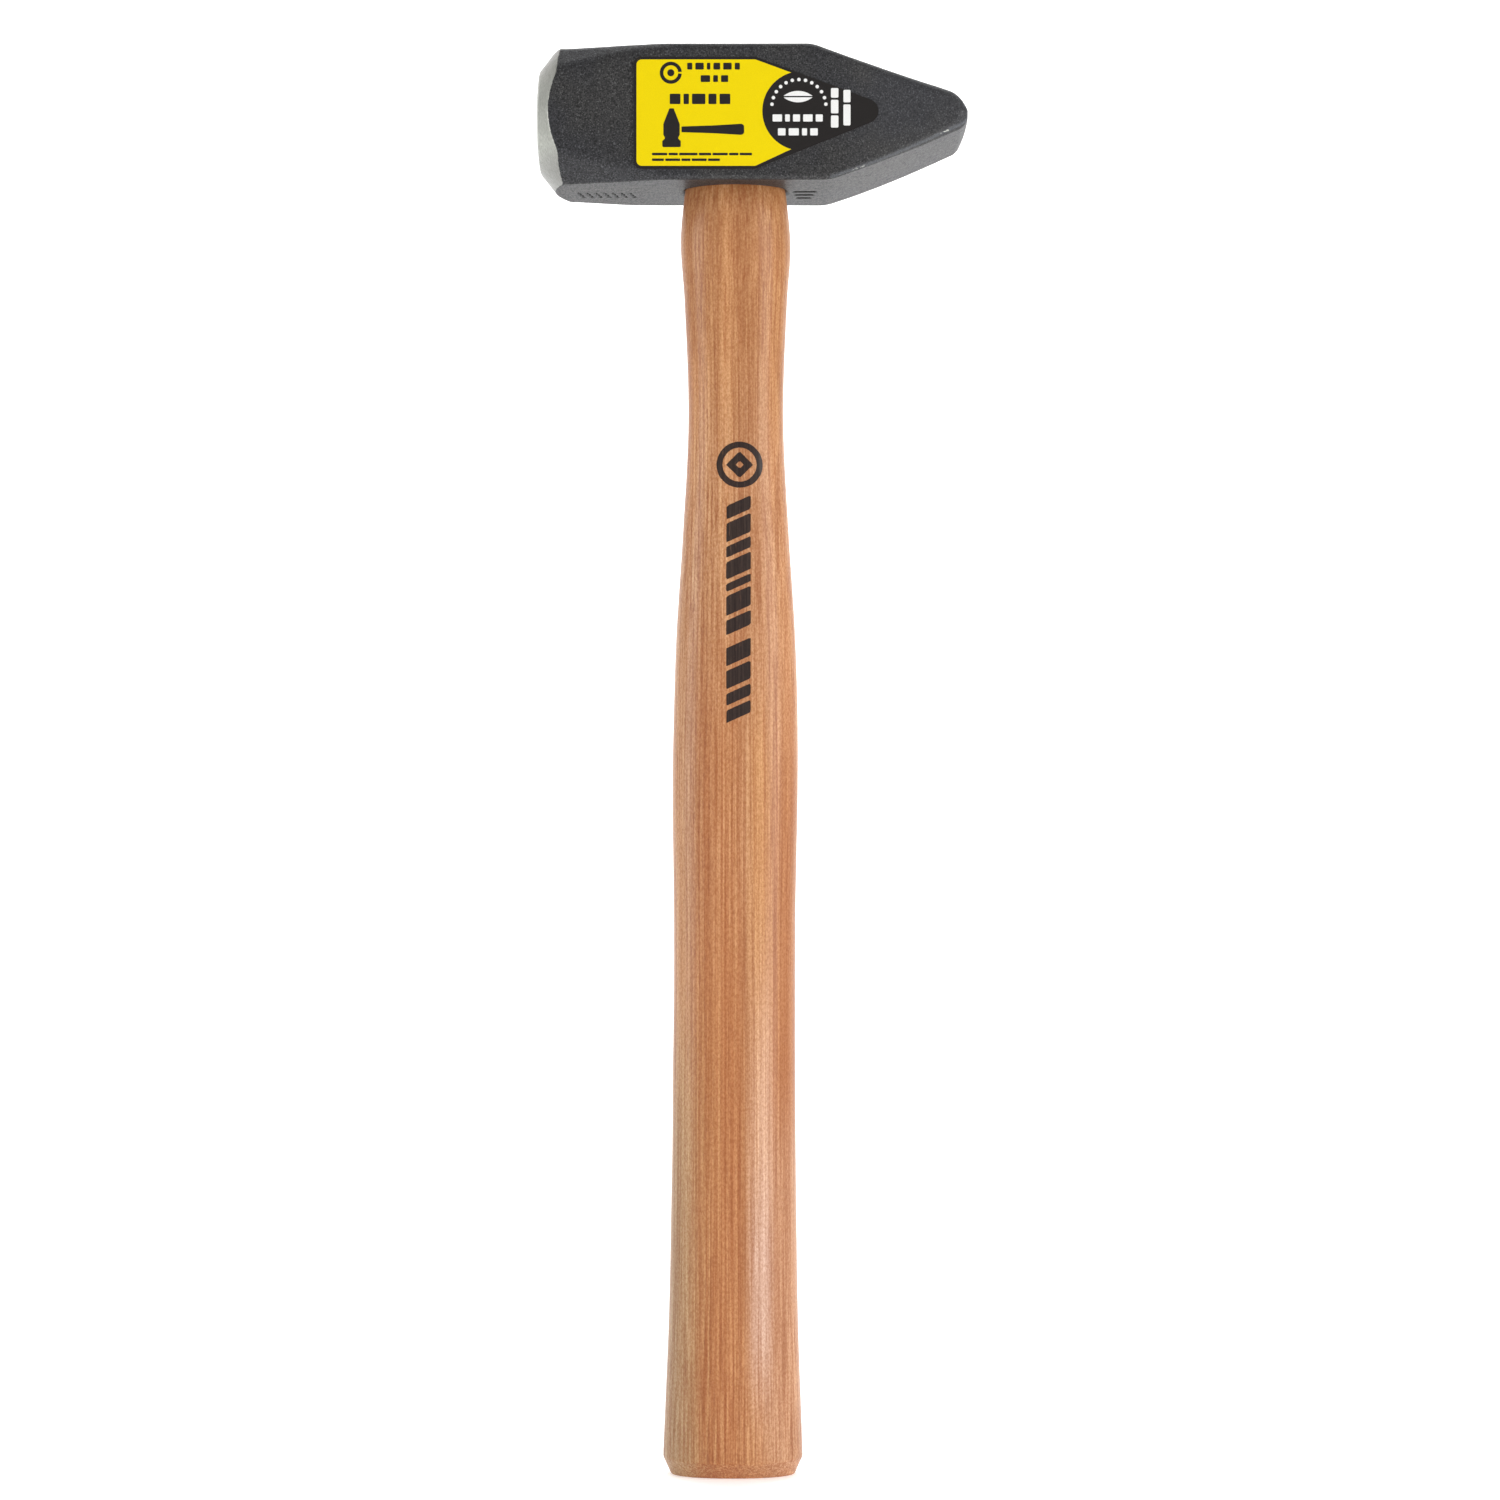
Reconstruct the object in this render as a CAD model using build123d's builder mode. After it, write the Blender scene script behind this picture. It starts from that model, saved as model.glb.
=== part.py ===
from build123d import *
import os
from math import cos, radians, sin

os.makedirs("parts", exist_ok=True)

# Cross-peen blacksmith hammer: a 2.5 lb forged head on a 16 in hickory handle, in millimetres.
# It stands on the flat end of its handle: +Z runs up the handle and +X points to the peen.
# The label is on the cheek that faces -Y. The origin is the centre of the flat end.

# ---- head; X is measured from the handle's axis, heights from the head's own long axis ----
overall_height = 406.4
head_height = 38.7
head_thickness = 41.4
face_reach = 57.0
peen_reach = 66.2
peen_from = 23.7
peen_angle = 19.6
nose_radius = 5.7
peen_corner_radius = 5.0
peen_break_radius = 6.0
forged_edge_radius = 2.6

# the cheeks draw in towards the striking face
cheek_taper_from = -24.0
face_end_thickness = 36.0

# corner facets beside the striking face: their size at one station, and where they fade out
facet_station = -49.2
facet_height = 7.2
facet_depth = 6.2
facet_fade_at = -17.0

# ground striking face: a crowned disc inside a cone
face_radius = 14.5
face_crown = 1.1
face_corner_radius = 0.8
bevel_run = 0.85
bevel_radius = 34.0

# ---- eye: an oval hourglass through the head, with a bevelled rim at its lower mouth ----
eye_mouth = (28.6, 22.4)
eye_waist = (27.4, 21.2)
eye_top = (29.6, 23.8)
eye_rim_depth = 1.2
eye_rim_width = 1.1

# ---- handle: height above the butt, width along X and depth along Y at each station ----
butt_flat = (0.0, 34.5, 23.2)
butt_edge = (5.2, 39.6, 28.4)
flare = (44.0, 36.7, 27.0)
grip = (96.0, 34.85, 26.2)
palm = (156.0, 34.6, 26.2)
belly = (207.0, 35.5, 26.6)
slope = (242.0, 33.4, 25.6)
upper_slope = (268.0, 30.1, 24.2)
neck = (302.5, 26.7, 22.8)
lower_shoulder = (337.0, 28.9, 24.2)
shoulder = (354.3, 31.15, 25.4)
collar = (367.0, 29.1, 22.9)

# ---- wedges, driven in from the top of the eye ----
kerf_width = 1.2
kerf_depth = 33.0
wood_wedge_depth = 27.0
wood_wedge_top = 4.2
wood_wedge_tip = 1.2
steel_wedge_depth = 18.0
steel_wedge_width = 15.0
steel_wedge_top = 2.8
steel_wedge_tip = 1.1
steel_wedge_offset = 7.4
barb_count = 3
barb_step = 0.35

# ---- label: a film with rounded corners and a tapered end; heights from the head's axis ----
label_thickness = 0.15
label_left = -28.4
label_taper_from = 5.85
label_apex = 46.6
label_top = 15.0
label_bottom = -16.5
label_tip_radius = 3.5
label_corner_radius = 2.0

# ---- derived ----
half_height = head_height / 2
cheek = head_thickness / 2
face_end_cheek = face_end_thickness / 2
head_top = overall_height
head_bottom = overall_height - head_height
head_axis = overall_height - half_height
side_view = Plane(origin=(0, 0, head_axis), x_dir=(1, 0, 0), z_dir=(0, -1, 0))
front_cheek = side_view.offset(cheek)
face_rim = -face_reach + face_crown
bevel_end = face_rim + bevel_run * (bevel_radius - face_radius)
behind_peen = 2 * peen_reach
nose_start_x = peen_reach - nose_radius + nose_radius * sin(radians(peen_angle))
nose_start_z = nose_radius * cos(radians(peen_angle))
eye_entry = (head_bottom + eye_rim_depth, *eye_mouth)
eye_rim = (head_bottom, eye_mouth[0] + 2 * eye_rim_width, eye_mouth[1] + 2 * eye_rim_width)
eye_stations = (eye_entry, (head_axis, *eye_waist), (head_top, *eye_top))
grip_stations = (butt_edge, flare, grip, palm, belly, slope)
neck_stations = (upper_slope, neck, lower_shoulder, shoulder, collar, eye_entry)


def facet_plane(side, level):
    """Plane of one corner facet; side is -1 or 1 along Y, level is -1 or 1 along Z."""
    drawn_in = (cheek_taper_from - facet_station) / (cheek_taper_from + face_reach)
    station_cheek = cheek - drawn_in * (cheek - face_end_cheek)
    edge_height = head_axis + level * half_height
    on_cheek = Vector(facet_station, side * station_cheek, edge_height - level * facet_height)
    on_top = Vector(facet_station, side * (station_cheek - facet_depth), edge_height)
    fade = Vector(facet_fade_at, side * cheek, edge_height)
    normal = (on_top - on_cheek).cross(fade - on_cheek)
    return Plane(origin=on_cheek, z_dir=normal if normal.Y * side > 0 else -normal)


def barbed_outline(centre):
    """Outline of a steel wedge seen from the front: it narrows downwards in barbed steps."""
    flank = []
    for barb in range(barb_count + 1):
        share = barb / barb_count
        half = (steel_wedge_top + (steel_wedge_tip - steel_wedge_top) * share) / 2
        height = head_top - steel_wedge_depth * share
        if barb > 0:
            flank.append((half - barb_step, height))
        if barb < barb_count:
            flank.append((half, height))
    right = [(centre + half, height) for half, height in flank]
    left = [(centre - half, height) for half, height in reversed(flank)]
    return right + left


# Eye core: the space that the handle's tongue and its wedges fill exactly.
with BuildPart() as eye_core:
    for height, length, width in eye_stations:
        with BuildSketch(Plane.XY.offset(height)):
            Ellipse(length / 2, width / 2)
    loft()

# Head: a forged blank with softened edges, then its facets, its ground face and its eye.
with BuildPart() as head:
    # side profile through the full thickness
    with BuildSketch(side_view) as profile:
        with BuildLine():
            Polyline(
                (nose_start_x, nose_start_z),
                (peen_from, half_height),
                (-face_reach, half_height),
                (-face_reach, -half_height),
                (peen_from, -half_height),
                (nose_start_x, -nose_start_z),
            )
            ThreePointArc((nose_start_x, -nose_start_z), (peen_reach, 0), (nose_start_x, nose_start_z))
        make_face()
        fillet(profile.vertices().filter_by_position(Axis.X, 0, 2 * peen_from), peen_break_radius)
    extrude(amount=cheek, both=True)

    # plan view of the cheeks, which draw in towards the striking face
    with BuildSketch(Plane.XY.offset(head_bottom)):
        with BuildLine():
            Polyline(
                (-face_reach, -face_end_cheek),
                (cheek_taper_from, -cheek),
                (peen_reach, -cheek),
                (peen_reach, cheek),
                (cheek_taper_from, cheek),
                (-face_reach, face_end_cheek),
                close=True,
            )
        make_face()
    extrude(amount=head_height, mode=Mode.INTERSECT)

    # softened edges round both cheeks, except the upright ones
    cheek_faces = head.faces().sort_by(Axis.Y)[:2] + head.faces().sort_by(Axis.Y)[-2:]
    fillet(cheek_faces.edges().filter_by(Axis.Z, reverse=True), forged_edge_radius)

    # plan view of the peen, rounded at both ends of its edge
    with BuildSketch(Plane.XY.offset(head_bottom)) as plan:
        with Locations((peen_reach - behind_peen / 2, 0)):
            Rectangle(behind_peen, head_thickness)
        fillet(plan.vertices().group_by(Axis.X)[-1], peen_corner_radius)
    extrude(amount=head_height, mode=Mode.INTERSECT)

    # corner facets
    for side in (-1, 1):
        for level in (-1, 1):
            with BuildSketch(facet_plane(side, level)):
                Rectangle(2 * face_reach, 2 * face_reach)
            extrude(amount=head_thickness, mode=Mode.SUBTRACT)

    # ground striking face: its crown drops by a quarter at half its radius
    with BuildSketch(side_view) as grind:
        with BuildLine():
            ThreePointArc(
                (-face_reach, 0), (-face_reach + face_crown / 4, face_radius / 2), (face_rim, face_radius)
            )
            Polyline(
                (face_rim, face_radius),
                (bevel_end, bevel_radius),
                (behind_peen, bevel_radius),
                (behind_peen, 0),
                (-face_reach, 0),
            )
        make_face()
        fillet(grind.vertices().sort_by_distance((face_rim, face_radius))[0], face_corner_radius)
    revolve(axis=Axis((0, 0, head_axis), (1, 0, 0)), mode=Mode.INTERSECT)

    # eye, and the bevelled rim of its lower mouth
    add(eye_core.part, mode=Mode.SUBTRACT)
    for height, length, width in (eye_rim, eye_entry):
        with BuildSketch(Plane.XY.offset(height)):
            Ellipse(length / 2, width / 2)
    loft(mode=Mode.SUBTRACT)
head.part.label = "head"
export_step(head.part, "parts/head.step")

# Steel wedges: two, driven across the wooden one on either side of the eye's middle.
steel_wedges = []
for name, centre in (("steel_wedge_face", -steel_wedge_offset), ("steel_wedge_peen", steel_wedge_offset)):
    with BuildPart() as steel_wedge:
        with BuildSketch(Plane.XZ):
            with BuildLine():
                Polyline(*barbed_outline(centre), close=True)
            make_face()
        extrude(amount=steel_wedge_width / 2, both=True)
    steel_wedge.part.label = name
    export_step(steel_wedge.part, f"parts/{name}.step")
    steel_wedges.append(steel_wedge.part)

# Wedge space: the tapered slot that the wooden wedge opens in the tongue.
with BuildPart() as wedge_space:
    with BuildSketch(Plane.YZ):
        with BuildLine():
            Polyline(
                (-wood_wedge_tip / 2, head_top - wood_wedge_depth),
                (wood_wedge_tip / 2, head_top - wood_wedge_depth),
                (wood_wedge_top / 2, head_top),
                (-wood_wedge_top / 2, head_top),
                close=True,
            )
        make_face()
    extrude(amount=eye_top[0], both=True)

# Wooden wedge: as long as the eye, and cut across by the two steel ones.
with BuildPart() as wood_wedge:
    add(wedge_space.part)
    add(eye_core.part, mode=Mode.INTERSECT)
    add(steel_wedges, mode=Mode.SUBTRACT)
wood_wedge.part.label = "wood_wedge"
export_step(wood_wedge.part, "parts/wood_wedge.step")

# Handle: an oval grip and neck, then the tongue that fills the eye round its wedges.
with BuildPart() as handle:
    # chamfered butt
    for height, width, depth in (butt_flat, butt_edge):
        with BuildSketch(Plane.XY.offset(height)):
            Ellipse(width / 2, depth / 2)
    loft()

    # grip, neck, shoulder and collar
    for height, width, depth in grip_stations + neck_stations:
        with BuildSketch(Plane.XY.offset(height)):
            Ellipse(width / 2, depth / 2)
    loft()

    # tongue with its saw kerf, opened by the wedges
    add(eye_core.part)
    with BuildSketch(Plane.XY.offset(head_top - kerf_depth)):
        Rectangle(2 * eye_top[0], kerf_width)
    extrude(amount=kerf_depth, mode=Mode.SUBTRACT)
    add([wedge_space.part, *steel_wedges], mode=Mode.SUBTRACT)
handle.part.label = "handle"
export_step(handle.part, "parts/handle.step")

# Label: a thin film on the front cheek, tapered like the peen.
with BuildPart() as label:
    with BuildSketch(front_cheek) as film:
        with BuildLine():
            Polyline(
                (label_left, label_top),
                (label_taper_from, label_top),
                (label_apex, 0),
                (label_taper_from, label_bottom),
                (label_left, label_bottom),
                close=True,
            )
        make_face()
        fillet(film.vertices().group_by(Axis.X)[0], label_corner_radius)
        fillet(film.vertices().group_by(Axis.X)[-1], label_tip_radius)
    extrude(amount=label_thickness)
label.part.label = "label"
export_step(label.part, "parts/label.step")
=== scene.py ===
import math

import bpy
import numpy as np
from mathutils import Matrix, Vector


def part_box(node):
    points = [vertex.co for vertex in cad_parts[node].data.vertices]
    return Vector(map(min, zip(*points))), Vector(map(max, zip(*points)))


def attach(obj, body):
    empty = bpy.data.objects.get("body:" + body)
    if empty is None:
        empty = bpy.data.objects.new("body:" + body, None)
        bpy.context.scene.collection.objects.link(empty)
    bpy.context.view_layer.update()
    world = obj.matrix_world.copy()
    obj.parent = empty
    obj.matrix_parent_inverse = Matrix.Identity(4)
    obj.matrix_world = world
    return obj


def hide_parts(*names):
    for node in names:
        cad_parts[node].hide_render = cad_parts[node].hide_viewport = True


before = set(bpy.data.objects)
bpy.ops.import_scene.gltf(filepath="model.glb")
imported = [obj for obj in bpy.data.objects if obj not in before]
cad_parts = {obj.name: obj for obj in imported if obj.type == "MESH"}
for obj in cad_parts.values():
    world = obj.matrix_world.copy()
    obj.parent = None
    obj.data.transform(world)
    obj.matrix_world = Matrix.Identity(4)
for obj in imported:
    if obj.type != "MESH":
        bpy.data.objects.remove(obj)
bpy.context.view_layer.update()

# Sizes are in millimetres. Heights inside the head are measured from the head's own axis.
MM = 0.001
HEAD_LOW, HEAD_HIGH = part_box("head")
LABEL_LOW, LABEL_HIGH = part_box("label")
HEAD_AXIS = (HEAD_LOW.z + HEAD_HIGH.z) / 2 / MM
HALF_HEIGHT = (HEAD_HIGH.z - HEAD_LOW.z) / 2 / MM
HALF_DEPTH = HEAD_HIGH.y / MM
FACE_TIP = HEAD_LOW.x / MM
PEEN_TIP = HEAD_HIGH.x / MM
TOP = HEAD_HIGH.z / MM
LABEL_LEFT = LABEL_LOW.x / MM
LABEL_RIGHT = LABEL_HIGH.x / MM
LABEL_BOTTOM = LABEL_LOW.z / MM - HEAD_AXIS
LABEL_TOP = LABEL_HIGH.z / MM - HEAD_AXIS

# Head mesh
MESH_STEP = 0.52
SETTLE_ROUNDS = 7
SETTLE_PROBE = 0.02
LONGEST_MOVE = 0.4
NORMAL_PROBE = 0.07
FAR = 9.0

# Head, with fades given as from and to
PEEN_TOP_FROM = 21.8
PEEN_TOP_ANGLE = math.radians(18.84)
PEEN_TOP_HOLLOW = 0.26
PEEN_UNDER_FROM = 26.6
PEEN_UNDER_ANGLE = math.radians(21.46)
PEEN_UNDER_SWELL = 0.6
PEEN_RUN = 36.0
PEEN_BREAK_REACH = 0.55
NOSE_UPPER_REACH = 5.2
NOSE_LOWER_REACH = 2.6
NOSE_FADE = (-2.5, 2.5)
NOSE_CROWN = 0.6
EDGE_REACH = 2.4
UNDER_EDGE_REACH = 1.5
EDGE_FADE = (-6.0, 6.0)
TIP_EDGE_REACH = 2.8
TIP_EDGE_FADE = (40.0, 62.0)
CHEEK_TAPER_FROM = -24.0
CHEEK_TAPER = 0.079
TAPER_SOFTNESS = 3.0
FACET_ROUNDING = 0.01
FACET_FROM = -49.2
UPPER_FACET = (6.9, 5.5, -17.0)
LOWER_FACET = (7.75, 6.1, -18.0)
BACK_LOWER_FACET = (6.6, 4.4, -27.0)
UPPER_FACET_REACH = 1.3
LOWER_FACET_REACH = 0.8
FACE_RADIUS = 14.45
FACE_CROWN = 1.1
FACE_EDGE_REACH = 0.35
CONE_RUN = 0.79
CONE_HOLLOW = 0.06
CONE_WIDTH = 8.0
GRIND_EDGE_REACH = 0.22
GRIND_CENTRE = 0.6
EYE_MOUTH_AT = -18.15
EYE_MOUTH = (14.3, 11.2)
EYE_WAIST = (13.7, 10.6)
EYE_TOP = (14.8, 11.9)
EYE_RIM = 1.1
EYE_RIM_SOFTNESS = 0.15
EYE_EDGE_REACH = 0.5

# Skin of the head: waves as height and size, chips as place along X and radius
SKIN = ((0.11, 15.0), (0.035, 4.0), (0.012, 1.4))
SKIN_FADE = (0.0, 1.5)
SKIN_UNDER_LABEL = 0.25
LABEL_PATCH = ((-31.0, -28.0), (39.0, 43.0))
PATCH_DEPTH = (17.0, 20.0)
CHIPS = ((34.4, 0.36), (36.2, 0.22), (58.8, 0.26), (60.6, 0.3))
CHIP_STRETCH = 2.2
CHIP_EDGE_REACH = 0.2
BRINK_FRONT = -12
BRINK_HIGH = 4

# Strokes pressed into the underside: slanted tallies and short bars
TALLY_COUNT = 7
TALLY_FROM = -45.0
TALLY_PITCH = 2.45
TALLY_RUN = (1.3, 6.6)
TALLY_HALF_WIDTH = 0.42
BAR_COUNT = 3
BAR_FROM = -1.6
BAR_PITCH = 4.6
BAR_ENDS = (17.4, 22.6)
BAR_SHIFTS = (0.5, 0.7)
BAR_HALF_WIDTH = 0.85
PRESS_BAND = 3.0
PRESS_DEPTH = 0.3
PRESS_FADE = (-0.25, 0.3)

# Handle: height, half width along X, half depth along Y
STATIONS = (
    (-4.0, 20.4, 14.5), (5.2, 20.1, 14.2), (44.0, 18.65, 13.5), (96.0, 17.82, 13.1),
    (156.0, 17.5, 13.1), (207.0, 18.02, 13.3), (242.0, 17.05, 12.8), (268.0, 15.37, 12.1),
    (302.5, 13.68, 11.4), (337.0, 14.82, 12.1), (354.3, 15.8, 12.7), (367.0, 14.55, 11.45),
    (369.4, 14.2, 11.1),
)
SHANK_TOP = 369.4
TONGUE_FADE = (367.6, 369.4)
BUTT_CHAMFER = 5.2
BUTT_CHAMFER_SLOPE = (0.49, 1.05)
CHAMFER_SOFTNESS = 0.35
BUTT_EDGE = 0.5
EDGE_DEPTH = 0.7
DRIFT = -0.65
DRIFT_FROM = 215.0
BOW = 0.17
BOW_FADES = ((185.0, 225.0), (345.0, 364.0))
GRIP_FLATNESS = 0.22
GRIP_FLATNESS_FADE = (330.0, 362.0)
TONGUE_GAP = 0.03
HANDLE_AROUND = 168
# Rings up the handle: from, to and step
RING_BANDS = (
    (0.0, 0.7, 0.1), (0.7, 4.2, 0.5), (4.2, 6.4, 0.22), (6.4, 208.0, 1.3), (208.0, 300.0, 0.6),
    (300.0, 350.0, 1.2), (350.0, 372.0, 0.5), (372.0, TOP - 0.5, 1.5),
)
TOP_RINGS = (0.5, 0.3, 0.15, 0.08)
BUTT_SHRINKS = (0.05, 0.2, 0.4, 0.6, 0.8, 0.93)
TOP_SHRINKS = (0.97, 0.85, 0.65, 0.45, 0.25, 0.08)
TURNING_WAVES = (0.006, 7.0)
SAWN_WAVES = (0.08, 1.1)

# Printed mark on the handle, with places measured down from the head's axis
MARK_CENTRE = (1.3, 98.6)
MARK_RING = (5.7, 0.9)
MARK_DIAMOND = (3.9, 1.1)
MARK_TILT = 0.7
BAND_CENTRE = 1.0
BAND_HALF_WIDTH = 3.5
BAND_SLANT = 0.45
BAND_BLOCKS = (
    (108.8, 3.9), (113.8, 5.4), (120.4, 3.2), (124.8, 5.0), (131.0, 2.3), (134.5, 5.6),
    (141.4, 4.2), (149.2, 5.2), (155.7, 5.2), (162.2, 3.4), (166.9, 3.6),
)
INK_LIMIT = 3

# Wedges
WOOD_DEPTH = 27.0
WOOD_TOP = 2.1
WOOD_TIP = 0.6
STEEL_DEPTH = 18.0
STEEL_TOP = 1.4
STEEL_TIP = 0.55
STEEL_HALF_WIDTH = 7.5
STEEL_OFFSET = 7.4
STEEL_CORNER = 0.25
BARB_DEPTH = 0.12
BARB_PITCH = 0.25
BARBS_END = 0.8
WEDGE_GAP = 0.03
CUT_CLEARANCE = 1.0

# Label. Rows of bars are left, right, low, high and the bars' shares.
LABEL_TAPER = 5.85
LABEL_POINT = 6.2
LABEL_MIDDLE = -0.1
LABEL_BORDER = 0.75
DISC_CENTRE = (18.9, -0.2)
DISC_RADIUS = 11.2
BADGE_CENTRE = (-18.0, 10.5)
BADGE_RADII = (3.1, 2.1, 1.0)
NAME_ROWS = (
    (-13.4, 1.4, 11.4, 13.3, (3, 5, 2, 4, 5, 3)),
    (-9.6, -1.9, 7.9, 9.8, (4, 2, 3)),
    (-18.3, -1.3, 1.7, 4.6, (4, 2, 5, 3, 4)),
)
NOTE_ROWS = (
    (-23.3, 4.8, -12.7, -12.0, (5, 3, 6, 4, 5, 3, 4)),
    (-23.3, -4.2, -14.3, -13.6, (4, 5, 3, 5, 4)),
)
TINY_HEAD_SIDE = (
    (2.6, -10.4, 0.4), (2.6, -8.7, 0.3), (1.8, -7.9, 0.3),
    (2.3, -6.9, 0.3), (2.3, -3.9, 0.5), (0.6, 0.5, 0.3),
)
TINY_HANDLE = (
    (-15.0, -6.2, 0.1), (-15.0, -4.6, 0.1), (-6.0, -4.3, 3.0),
    (2.6, -3.8, 0.9), (2.6, -7.0, 0.9), (-6.0, -6.5, 3.0),
)
DOT_ARCH = (18.0, 1.0, 7.6)
DOT_RADIUS = 0.5
DOT_COUNT = 13
LEAF_X = 17.75
LEAF_RADIUS = 6.6
DISC_ROWS = (
    (10.6, 24.7, -3.2, -1.2, (4, 2, 3, 4, 3)),
    (12.1, 23.3, -7.1, -5.1, (3, 4, 2, 3)),
)
POINT_BARS = (
    (27.0, 29.1, 3.5, 6.2), (27.0, 29.1, -0.9, 2.9), (27.0, 29.1, -4.9, -1.5),
    (30.5, 32.5, 2.2, 5.7), (30.5, 32.5, -4.3, 1.6),
)

# Studio, in metres. Lights are name, place, aim, width, height and power.
FLOOR_HALF_WIDTH = 4.0
FLOOR_FRONT = -3.5
WALL_BACK = 2.4
WALL_CURVE = 0.8
WALL_HEIGHT = 3.6
OBJECT_MIDDLE = (0.0, 0.0, 0.2)
LIGHTS = (
    ("right_box", (1.5, -1.0, 0.45), OBJECT_MIDDLE, 0.9, 1.2, 16.0),
    ("left_box", (-1.75, -0.55, 0.45), OBJECT_MIDDLE, 0.9, 1.2, 13.0),
    ("low_strip", (0.252, -0.311, 0.055), (0.0, 0.0, 0.055), 0.14, 0.12, 0.34),
    ("wall_wash", (0.0, 0.9, 2.6), (0.0, 2.2, 0.4), 3.0, 0.8, 40.0),
)
SKY_BELOW = 0.62
SKY_ABOVE = 0.4
CAMERA_PLACE = (4.25 * MM, -0.950, (HEAD_AXIS - 202.3) * MM)

LATTICE = np.random.default_rng(11).random((32, 32, 32))


def waves(x, y, z, size):
    """Smooth uneven values from 0 to 1, with bumps about size across."""
    scaled = [np.asarray(c, float) / size for c in (x, y, z)]
    cells = [np.floor(c).astype(int) for c in scaled]
    parts = [c - i for c, i in zip(scaled, cells)]
    parts = [t * t * (3 - 2 * t) for t in parts]
    total = 0.0
    for corner in range(8):
        steps = (corner & 1, corner >> 1 & 1, corner >> 2 & 1)
        weight = 1.0
        for part, one in zip(parts, steps):
            weight = weight * (part if one else 1 - part)
        index = tuple((c + one) % 32 for c, one in zip(cells, steps))
        total = total + weight * LATTICE[index]
    return total


def ease(value, low, high):
    """From 0 at low to 1 at high, with level ends."""
    t = np.clip((value - low) / (high - low), 0, 1)
    return t * t * (3 - 2 * t)


def ramp(value, softness):
    """Zero below zero and value above it, rounded in between."""
    return 0.5 * (value + np.sqrt(value * value + softness * softness))


def soft_max(a, b, reach):
    """The larger of two distances. They meet in a round edge of that reach."""
    h = np.maximum(reach - np.abs(a - b), 0) / reach
    return np.maximum(a, b) + reach * 0.5 * (1 + h - np.sqrt(1 - h * (h - 2)))


# ---- head shape


def facet_plane(height, depth, fade):
    """The plane of a corner facet, as a unit normal and its distance from the middle."""
    cheek = HALF_DEPTH - CHEEK_TAPER * (CHEEK_TAPER_FROM - FACET_FROM)
    a = np.array((FACET_FROM, cheek, HALF_HEIGHT - height))
    b = np.array((FACET_FROM, cheek - depth, HALF_HEIGHT))
    c = np.array((fade, HALF_DEPTH, HALF_HEIGHT))
    normal = np.cross(c - a, b - a)
    normal = normal / np.linalg.norm(normal)
    if normal[1] < 0:
        normal = -normal
    return normal, normal @ a


FACETS = (facet_plane(*UPPER_FACET), facet_plane(*LOWER_FACET), facet_plane(*BACK_LOWER_FACET))


def edge_reach(x, z):
    """How far the round edges of the cheeks reach, larger above and towards the tip."""
    reach = UNDER_EDGE_REACH + (EDGE_REACH - UNDER_EDGE_REACH) * ease(z, *EDGE_FADE)
    return reach + (TIP_EDGE_REACH - reach) * ease(x, *TIP_EDGE_FADE)


def arch(value, span):
    """A shallow arch over the span: 0 at both ends and 1 half way along it."""
    along = np.clip(value / span, 0, 1)
    return 4 * along * (1 - along)


def slope_outside(x, rise, start, angle):
    """Distance outside a plane that leaves the head's flat side at start and falls by the angle."""
    return (rise - HALF_HEIGHT) * math.cos(angle) + (x - start) * math.sin(angle)


def peen_top(x, z):
    """Distance outside the peen's upper slope, which is slightly hollow."""
    slope = slope_outside(x, z, PEEN_TOP_FROM, PEEN_TOP_ANGLE)
    return slope + PEEN_TOP_HOLLOW * arch(x - PEEN_TOP_FROM, PEEN_RUN)


def peen_under(x, z):
    """Distance outside the peen's lower slope, which swells slightly."""
    slope = slope_outside(x, -z, PEEN_UNDER_FROM, PEEN_UNDER_ANGLE)
    return slope - PEEN_UNDER_SWELL * arch(x - PEEN_UNDER_FROM, PEEN_RUN)


def forged_field(x, y, z):
    """Distance outside the forged body, before the face is ground."""
    side = np.abs(y)
    rise = np.sqrt(z * z + FACET_ROUNDING)
    taper = CHEEK_TAPER * ramp(CHEEK_TAPER_FROM - x, TAPER_SOFTNESS)
    cheek = side - HALF_DEPTH + taper
    roof = soft_max(z - HALF_HEIGHT, peen_top(x, z), PEEN_BREAK_REACH)
    floor = soft_max(-z - HALF_HEIGHT, peen_under(x, z), PEEN_BREAK_REACH)
    corner = NOSE_LOWER_REACH + (NOSE_UPPER_REACH - NOSE_LOWER_REACH) * ease(z, *NOSE_FADE)
    end = x - PEEN_TIP + NOSE_CROWN * (y / HALF_DEPTH) ** 2
    nose = soft_max(np.maximum(roof, floor), end, corner)
    body = soft_max(nose, cheek, edge_reach(x, z))
    above, below, behind = (n[0] * x + n[1] * side + n[2] * rise - offset for n, offset in FACETS)
    below = np.where(y > 0, behind, below)
    facet = np.where(z > 0, above, below)
    return soft_max(body, facet, np.where(z > 0, UPPER_FACET_REACH, LOWER_FACET_REACH))


def ground_field(x, y, z):
    """Distance outside the ground face: a shallow crown and the slightly hollow cone round it."""
    away = np.sqrt(y * y + (z - GRIND_CENTRE) ** 2)
    crown_radius = (FACE_RADIUS**2 + FACE_CROWN**2) / (2 * FACE_CROWN)
    crown = np.sqrt((x - FACE_TIP - crown_radius) ** 2 + away * away) - crown_radius
    out = away - FACE_RADIUS
    cone_x = FACE_TIP + FACE_CROWN + CONE_RUN * out + CONE_HOLLOW * arch(out, CONE_WIDTH)
    cone = (cone_x - x) / math.hypot(1, CONE_RUN)
    return soft_max(crown, cone, FACE_EDGE_REACH)


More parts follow.
